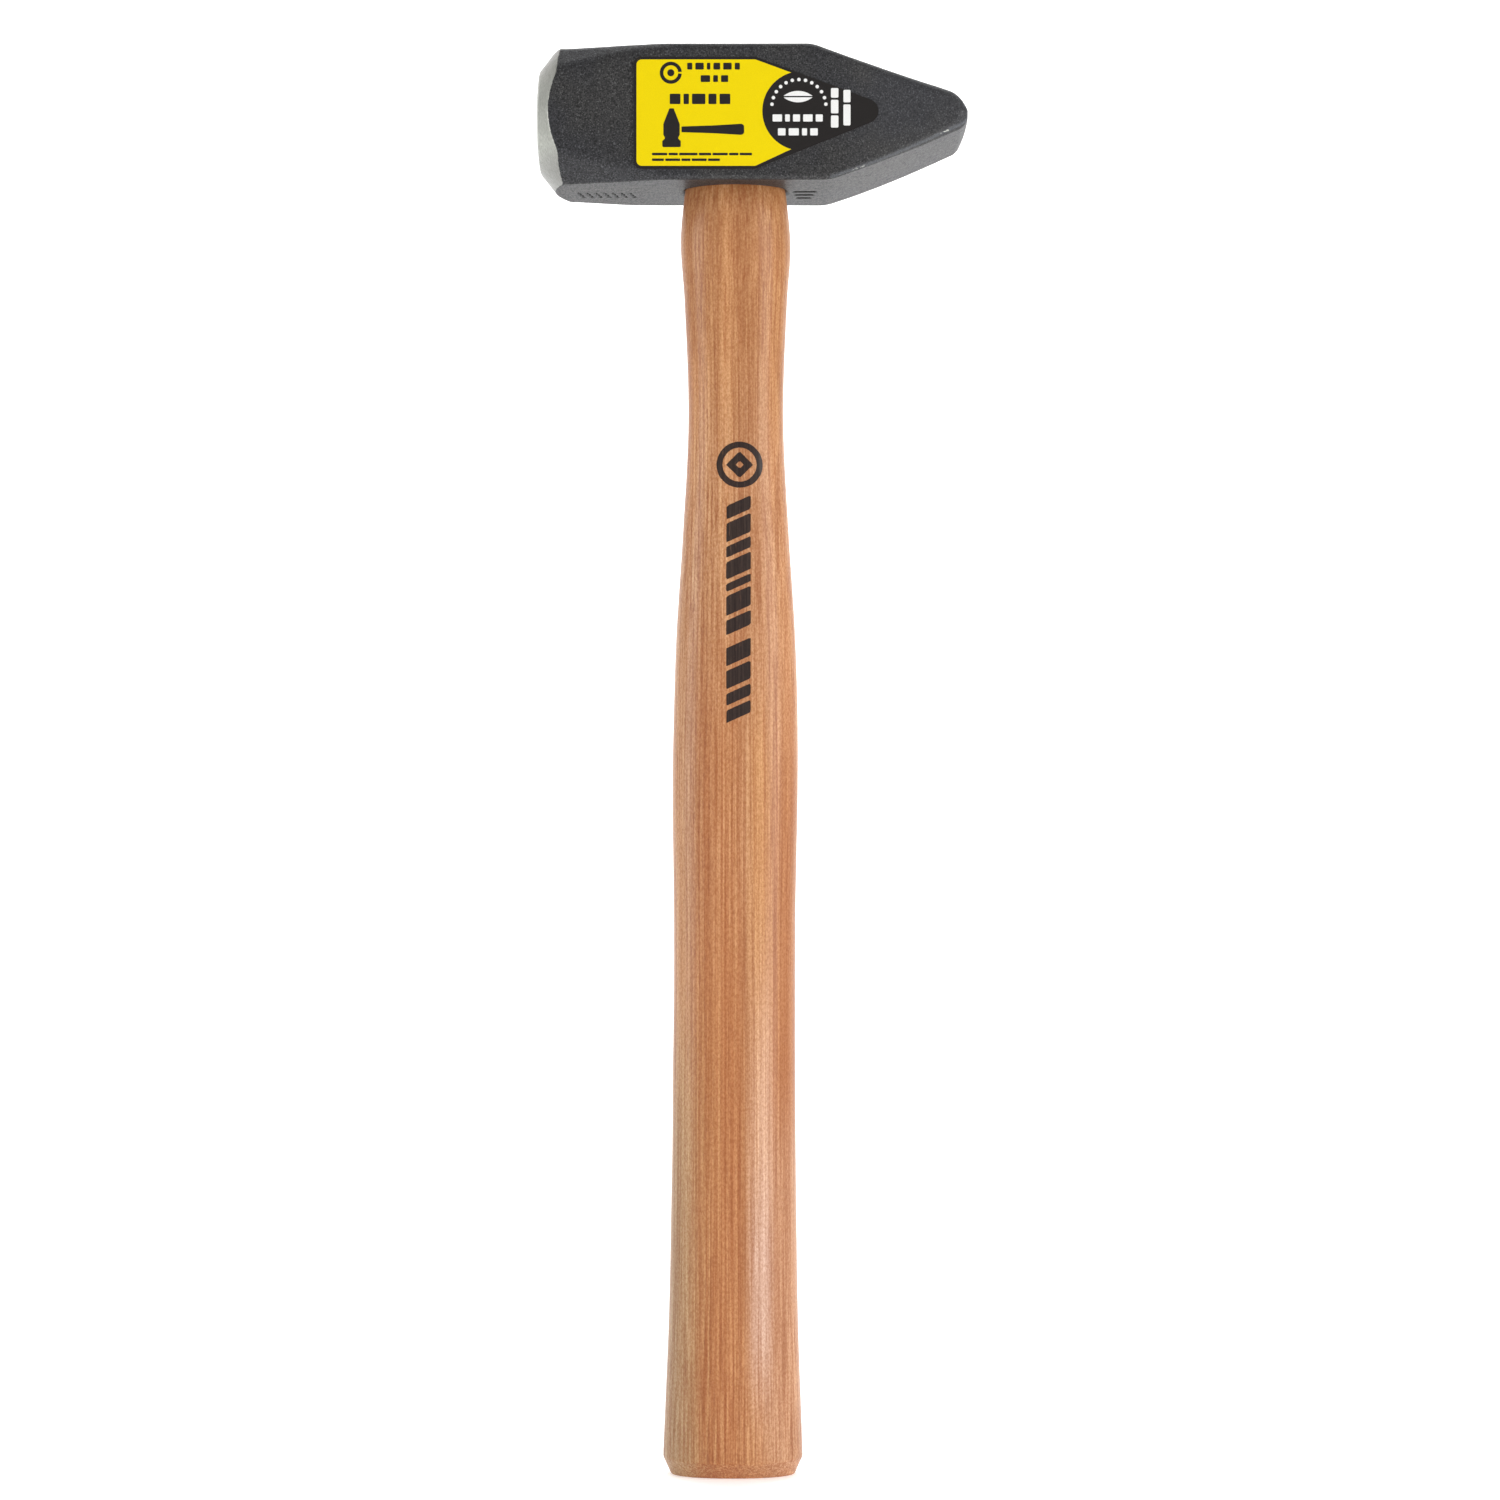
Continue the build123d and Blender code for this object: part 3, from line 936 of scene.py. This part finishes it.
def build_head():
    low = (FACE_TIP, -HALF_DEPTH, -HALF_HEIGHT)
    high = (PEEN_TIP, HALF_DEPTH, HALF_HEIGHT)
    points, faces = surface_net(plain_head, low, high, MESH_STEP)
    points = settle(head_field, points, SETTLE_ROUNDS)
    points = np.clip(points, np.array(low), np.array(high))
    normals = slope_of(head_field, points, NORMAL_PROBE)
    normals = normals / np.linalg.norm(normals, axis=1, keepdims=True)
    x, y, z = points.T
    sideways = np.abs(normals[:, 1])
    turning = ease(sideways, 0.2, 0.5) * ease(-sideways, -0.95, -0.8)
    obj = new_object("forged_head", points + (0, 0, HEAD_AXIS), faces)
    obj.data.normals_split_custom_set_from_vertices(normals.tolist())
    store(obj, "ground", ground_field(x, y, z) - forged_field(x, y, z))
    # The pressed strokes, which the paint darkens as painted shade.
    store(obj, "stamp", ease(-stamp_field(x, y, z), -0.3, 0.3))
    # The side of the peen's lower front edge: it places the chips and a painted bluish reflection.
    store(obj, "brink", brink_field(x, y, z))
    # Faces that look down, which the paint darkens as painted shade.
    store(obj, "under", np.clip(-normals[:, 2], 0, 1))
    # The rounded cheek edges, where the paint carries a painted highlight.
    store(obj, "edge", turning * ease(np.abs(y), 12.0, 15.0))
    finish_piece(obj, forged_steel(), "forged_steel", "head")


def profile(heights, column):
    """The handle's half width or half depth at each height, smooth through its stations."""
    knots = np.array([s[0] for s in STATIONS])
    values = np.array([s[column] for s in STATIONS])
    slopes = np.gradient(values, knots)
    i = np.clip(np.searchsorted(knots, heights) - 1, 0, len(knots) - 2)
    span = knots[i + 1] - knots[i]
    t = (heights - knots[i]) / span
    start = values[i] * (2 * t**3 - 3 * t**2 + 1)
    end = values[i + 1] * (3 * t**2 - 2 * t**3)
    return start + end + span * (slopes[i] * (t**3 - 2 * t**2 + t) + slopes[i + 1] * (t**3 - t**2))


def handle_half(heights, column):
    """Half size at each height, with the butt's chamfer and the tongue inside the eye."""
    shank = profile(np.minimum(heights, SHANK_TOP), column)
    chamfer = ramp(BUTT_CHAMFER - heights, CHAMFER_SOFTNESS)
    shank = shank - BUTT_CHAMFER_SLOPE[column - 1] * chamfer
    edge = np.clip(BUTT_EDGE - heights, 0, BUTT_EDGE)
    shank = shank - (BUTT_EDGE - np.sqrt(BUTT_EDGE**2 - edge**2)) * EDGE_DEPTH
    tongue = eye_half(heights - HEAD_AXIS, column - 1) - TONGUE_GAP
    inside = ease(heights, *TONGUE_FADE)
    return shank * (1 - inside) + tongue * inside


def handle_rings():
    """Heights of the rings up the handle."""
    heights = [np.arange(a, b - step / 2, step) for a, b, step in RING_BANDS]
    return np.concatenate(heights + [[TOP - below for below in TOP_RINGS]])


def handle_outline(height, angles):
    """Corners of one ring: an oval with slightly flattened sides in the grip."""
    a = handle_half(np.array([height]), 1)[0]
    b = handle_half(np.array([height]), 2)[0]
    power = 2 / (2.0 + GRIP_FLATNESS * (1 - ease(height, *GRIP_FLATNESS_FADE)))
    c = np.cos(angles)
    s = np.sin(angles)
    neck, head = BOW_FADES
    drift = DRIFT * np.clip(1 - height / DRIFT_FROM, 0, 1)
    drift = drift + BOW * ease(height, *neck) * (1 - ease(height, *head))
    x = a * np.sign(c) * np.abs(c) ** power + drift
    y = b * np.sign(s) * np.abs(s) ** power
    return np.column_stack([x, y, np.full(len(angles), height)])


def box_distance(u, v, cu, cv, half_u, half_v):
    """Distance inside a rectangle, negative outside."""
    return -np.maximum(np.abs(u - cu) - half_u, np.abs(v - cv) - half_v)


def stamp_ink(x, y, z):
    """Distance inside the printed mark: a ring round a diamond, and a band of slanted blocks."""
    below = HEAD_AXIS - z
    u = x - MARK_CENTRE[0]
    v = below - MARK_CENTRE[1]
    ink = MARK_RING[1] - np.abs(np.hypot(u, v) - MARK_RING[0])
    away = np.abs(u) + np.abs(v)
    ink = np.maximum(ink, (MARK_DIAMOND[0] - away) * MARK_TILT)
    ink = np.minimum(ink, (away - MARK_DIAMOND[1]) * MARK_TILT)
    slanted = below + BAND_SLANT * (x - BAND_CENTRE)
    for start, length in BAND_BLOCKS:
        middle = start + length / 2
        block = box_distance(x, slanted, BAND_CENTRE, middle, BAND_HALF_WIDTH, length / 2)
        ink = np.maximum(ink, block)
    return np.where(y < 0, np.clip(ink, -INK_LIMIT, INK_LIMIT), -INK_LIMIT)


def end_rings(ring, shrinks, middle):
    """Copies of a flat ring, drawn in towards its middle."""
    return [ring * (s, s, 1) + (middle * (1 - s), 0, 0) for s in shrinks]


def build_handle():
    angles = np.linspace(0, 2 * math.pi, HANDLE_AROUND, endpoint=False)
    rings = [handle_outline(height, angles) for height in handle_rings()]
    butt = end_rings(rings[0], BUTT_SHRINKS, rings[0][:, :1].mean())
    rings = np.array(butt + rings + end_rings(rings[-1], TOP_SHRINKS, 0.0))
    x, y, z = rings.reshape(-1, 3).T
    amount, size = TURNING_WAVES
    turned = 1 - amount * waves(x, y, z * 0.3, size) * ((z > 1.5) & (z < 366))
    points = np.column_stack([x * turned, y * turned, z])
    amount, size = SAWN_WAVES
    rough = amount * waves(x, y, z, size) * ((z < 0.05) | (z > TOP - 0.1))
    points[:, 2] += np.where(z < 1, rough, -rough)
    obj = loft("hickory_handle", points.reshape(rings.shape))
    cut(obj, wood_wedge_solid("slot", WEDGE_GAP))
    for sign in (-1, 1):
        cut(obj, steel_wedge_solid("slot", sign, WEDGE_GAP))
    sharpen(obj, 40)
    x, y, z = corners_of(obj).T
    store(obj, "ink", stamp_ink(x, y, z))
    store(obj, "end_grain", ((z < 0.2) | (z > TOP - 0.25)).astype(float))
    finish_piece(obj, hickory(), "hickory", "handle")


def wood_wedge_solid(name, grow=0.0):
    """The hardwood wedge, thinner towards its tip, or its slot when it is grown by the gap."""
    rings = []
    clearance = CUT_CLEARANCE if grow else 0.0
    for height in np.linspace(TOP - WOOD_DEPTH, TOP - 0.12 + clearance, 40):
        share = min((height - TOP + WOOD_DEPTH) / WOOD_DEPTH, 1.0)
        half = WOOD_TIP + (WOOD_TOP - WOOD_TIP) * share + grow
        z = min(height, TOP) - HEAD_AXIS
        a = eye_half(z, 0) - TONGUE_GAP + clearance
        b = eye_half(z, 1)
        across = np.linspace(-half, half, 9)
        reach = a * np.sqrt(1 - (across / b) ** 2)
        right = np.column_stack([reach, across, np.full(9, height)])
        left = np.column_stack([-reach[::-1], across[::-1], np.full(9, height)])
        rings.append(np.concatenate([right, left]))
    return loft(name, rings, smooth=False)


def steel_wedge_ring(half, long):
    """A rectangle with round corners, as its corners anticlockwise."""
    turn = np.linspace(0, math.pi / 2, 4)
    arc = np.column_stack([np.cos(turn), np.sin(turn)]) * STEEL_CORNER
    quarter = arc + (half - STEEL_CORNER, long - STEEL_CORNER)
    back = quarter[::-1]
    return np.concatenate([quarter, back * (-1, 1), quarter * (-1, -1), back * (1, -1)])


def steel_wedge_solid(name, side, grow=0.0):
    """A steel wedge with three barbs, or its plain slot when it is grown by the gap."""
    rings = []
    clearance = CUT_CLEARANCE if grow else 0.0
    for height in np.linspace(TOP - STEEL_DEPTH, TOP - 0.02 + clearance, 61):
        share = min((height - TOP + STEEL_DEPTH) / STEEL_DEPTH, 1.0)
        half = STEEL_TIP + (STEEL_TOP - STEEL_TIP) * share + grow
        barb = BARB_DEPTH * ((share / BARB_PITCH) % 1.0) * (share < BARBS_END)
        half = half if grow else half - barb
        ring = steel_wedge_ring(half, STEEL_HALF_WIDTH + grow)
        ring = np.column_stack([ring + (side * STEEL_OFFSET, 0), np.full(len(ring), height)])
        rings.append(ring)
    return loft(name, rings, smooth=False)


def build_wedges():
    wood = wood_wedge_solid("wood_wedge_end")
    for sign in (-1, 1):
        cut(wood, steel_wedge_solid("slot", sign, WEDGE_GAP))
    sharpen(wood, 30)
    finish_piece(wood, wedge_wood(), "wedge_wood", "wood_wedge")
    steel = wedge_steel()
    for sign, node in ((-1, "steel_wedge_face"), (1, "steel_wedge_peen")):
        wedge = steel_wedge_solid(node + "_barbed", sign)
        sharpen(wedge, 30)
        finish_piece(wedge, steel, "wedge_steel", node)


# ---- label


def rounded(corners):
    """An outline through corners given as (x, z, radius), each turned by an arc."""
    points = []
    count = len(corners)
    for i, (x, z, radius) in enumerate(corners):
        here = np.array((x, z))
        before = np.array(corners[i - 1][:2]) - here
        after = np.array(corners[(i + 1) % count][:2]) - here
        before = before / np.linalg.norm(before)
        after = after / np.linalg.norm(after)
        if radius <= 0:
            points.append(here)
            continue
        half = math.acos(np.clip(before @ after, -1, 1)) / 2
        centre = here + (before + after) / np.linalg.norm(before + after) * radius / math.sin(half)
        start = here + before * radius / math.tan(half) - centre
        end = here + after * radius / math.tan(half) - centre
        turn = math.atan2(start[0] * end[1] - start[1] * end[0], start @ end)
        for t in np.linspace(0, turn, 9):
            c = math.cos(t)
            s = math.sin(t)
            points.append(centre + (start[0] * c - start[1] * s, start[0] * s + start[1] * c))
    return np.array(points)


def prisms(name, outlines, back, front):
    """Thin flat shapes on the cheek, from one depth to another."""
    points, faces = [], []
    for outline in outlines:
        x, z = outline.T
        turned_left = np.sum(x * np.roll(z, -1) - np.roll(x, -1) * z) > 0
        loop = outline if turned_left else outline[::-1]
        base = len(points)
        n = len(loop)
        points += [(u, y, v + HEAD_AXIS) for y in (back, front) for u, v in loop]
        faces.append([base + i for i in reversed(range(n))])
        faces.append([base + n + i for i in range(n)])
        for i in range(n):
            after = (i + 1) % n
            faces.append([base + i, base + after, base + n + after, base + n + i])
    return new_object(name, points, faces, smooth=False)


def bar(x0, x1, z0, z1, radius=0.25):
    return rounded([(x0, z0, radius), (x1, z0, radius), (x1, z1, radius), (x0, z1, radius)])


def dashes(x0, x1, z0, z1, shares):
    """A row of short bars that fills x0 to x1, with small gaps between them."""
    gap = 0.55 * min(z1 - z0, 1.6)
    room = (x1 - x0) - gap * (len(shares) - 1)
    row = []
    x = x0
    for share in shares:
        width = room * share / sum(shares)
        row.append(bar(x, x + width, z0, z1, min(0.25, 0.3 * (z1 - z0))))
        x += width + gap
    return row


def rows(places):
    return [one for place in places for one in dashes(*place)]


def circle_arc(cx, cz, radius, start, end, count):
    """Points along an arc, with its ends in degrees."""
    angles = np.radians(np.linspace(start, end, count))
    return np.column_stack([cx + radius * np.cos(angles), cz + radius * np.sin(angles)])


def dark_marks():
    """Generic print on the yellow field: a ring, rows of bars and a plain hammer."""
    outside, inside, centre = BADGE_RADII
    rim = circle_arc(*BADGE_CENTRE, outside, 5, 355, 40)
    hole = circle_arc(*BADGE_CENTRE, inside, 355, 5, 40)
    marks = [np.concatenate([rim, hole]), circle_arc(*BADGE_CENTRE, centre, 0, 345, 24)]
    marks += rows(NAME_ROWS)
    mirrored = [(-x, z, radius) for x, z, radius in reversed(TINY_HEAD_SIDE)]
    tiny_head = [(x - 17.8, z, radius) for x, z, radius in [*TINY_HEAD_SIDE, *mirrored]]
    marks += [rounded(tiny_head), rounded(TINY_HANDLE)]
    return marks + rows(NOTE_ROWS)


def light_marks():
    """Generic print on the dark end: an arch of dots, a leaf and bars."""
    dots = circle_arc(*DOT_ARCH, 5, 175, DOT_COUNT)
    marks = [circle_arc(x, z, DOT_RADIUS, 0, 340, 14) for x, z in dots]
    marks.append(circle_arc(LEAF_X, -1.2, LEAF_RADIUS, 52, 128, 18))
    marks.append(circle_arc(LEAF_X, 8.8, LEAF_RADIUS, 232, 308, 18))
    return marks + rows(DISC_ROWS) + [bar(*place, 0.35) for place in POINT_BARS]


def film_outline():
    """The whole label: square at the left and pointed at the right."""
    return rounded([
        (LABEL_LEFT, LABEL_TOP, 2.0), (LABEL_LEFT, LABEL_BOTTOM, 2.0), (LABEL_TAPER, LABEL_BOTTOM, 1.5),
        (LABEL_RIGHT + LABEL_POINT, LABEL_MIDDLE, 3.5), (LABEL_TAPER, LABEL_TOP, 1.5),
    ])


def field_outline():
    """The yellow field: inside the film's border, with a round bite for the dark disc."""
    cx, cz = DISC_CENTRE
    upper = (cx - 3.1, cz + math.sqrt(DISC_RADIUS**2 - 3.1**2))
    lower = (cx - 3.3, cz - math.sqrt(DISC_RADIUS**2 - 3.3**2))
    left = LABEL_LEFT + LABEL_BORDER
    right = LABEL_TAPER - 0.1
    low = LABEL_BOTTOM + LABEL_BORDER + 0.1
    high = LABEL_TOP - LABEL_BORDER
    outer = rounded([
        (left, high, 1.5), (left, low, 1.5), (right, low, 1.2), (*lower, 0), (*upper, 0), (right, high, 1.2),
    ])
    start = int(np.argmin(np.hypot(outer[:, 0] - lower[0], outer[:, 1] - lower[1])))
    bite = circle_arc(cx, cz, DISC_RADIUS, 254, 106, 40)
    return np.concatenate([outer[:start], bite, outer[start + 2:]])


def build_label():
    """Four thin layers, each from its back to its front."""
    front = LABEL_LOW.y / MM
    black = printed_film("label_film", (20, 17, 16), (27, 23, 22), 0.34)
    yellow = printed_film("label_yellow", (224, 200, 0), (213, 189, 0), 0.4, 0.12)
    white = printed_film("label_white", (228, 228, 226), (214, 214, 212), 0.36)
    layers = (
        ("label_film", [film_outline()], -HALF_DEPTH + 0.05, front + 0.06, black),
        ("label_field", [field_outline()], front + 0.07, front + 0.03, yellow),
        ("label_dark_marks", dark_marks(), front + 0.035, front, black),
        ("label_light_marks", light_marks(), front + 0.065, front + 0.02, white),
    )
    for name, outlines, back, face, material in layers:
        finish_piece(prisms(name, outlines, back, face), material, "label_film", "label")


# ---- stage, light and camera


def build_stage():
    """A pale floor that curves up into a wall, well behind the object."""
    turn = WALL_BACK - WALL_CURVE
    line = [(FLOOR_FRONT, 0.0), (-1.0, 0.0), (0.0, 0.0), (turn, 0.0)]
    for t in np.linspace(0, math.pi / 2, 25)[1:]:
        line.append((turn + WALL_CURVE * math.sin(t), WALL_CURVE - WALL_CURVE * math.cos(t)))
    line.append((WALL_BACK, WALL_HEIGHT))
    points = [(x, y, z) for y, z in line for x in (-FLOOR_HALF_WIDTH, FLOOR_HALF_WIDTH)]
    faces = [(2 * i, 2 * i + 1, 2 * i + 3, 2 * i + 2) for i in range(len(line) - 1)]
    obj = new_object("studio_floor", np.array(points) / MM, faces)
    g = Graph("studio_floor")
    tone = g.mix(g.noise(0.002), (250, 250, 250), (254, 254, 254))
    pale = g.surface(
        Base_Color=tone, Roughness=0.9, Specular_IOR_Level=0.1, Emission_Color=WHITE, Emission_Strength=0.4,
    )
    obj.data.materials.append(pale)


def soft_light(name, place, aim, width, height, power):
    """A soft rectangle of light at a place, turned towards its aim."""
    data = bpy.data.lights.new(name, "AREA")
    data.shape = "RECTANGLE"
    data.size = width
    data.size_y = height
    data.energy = power
    obj = add_object(name, data)
    direction = np.array(aim) - np.array(place)
    flat = math.hypot(direction[0], direction[1])
    obj.location = place
    obj.rotation_euler = (math.atan2(flat, -direction[2]), 0, -math.atan2(direction[0], direction[1]))


def build_light():
    """A white sky, brighter below than above, and the studio's soft lights."""
    world = bpy.data.worlds.new("studio")
    world.use_nodes = True
    tree = world.node_tree
    place = tree.nodes.new("ShaderNodeTexCoord")
    up = tree.nodes.new("ShaderNodeSeparateXYZ")
    fade = tree.nodes.new("ShaderNodeMapRange")
    fade.inputs[3].default_value = SKY_BELOW
    fade.inputs[4].default_value = SKY_ABOVE
    tree.links.new(place.outputs["Generated"], up.inputs[0])
    tree.links.new(up.outputs["Z"], fade.inputs[0])
    tree.links.new(fade.outputs[0], tree.nodes["Background"].inputs["Strength"])
    tree.nodes["Background"].inputs["Color"].default_value = WHITE
    bpy.context.scene.world = world
    for light in LIGHTS:
        soft_light(*light)


def build_camera():
    """A level camera in front, shifted so that the uprights stay parallel."""
    data = bpy.data.cameras.new("camera")
    data.sensor_width = 36.0
    data.lens = 79.35
    data.shift_y = 0.0533
    data.clip_end = 20.0
    data.dof.use_dof = False
    obj = add_object("camera", data)
    obj.location = CAMERA_PLACE
    obj.rotation_euler = (math.pi / 2, 0, 0)
    bpy.context.scene.camera = obj


build_head()
build_handle()
build_wedges()
build_label()
build_stage()
build_light()
build_camera()
bpy.context.scene.view_settings.view_transform = "Standard"
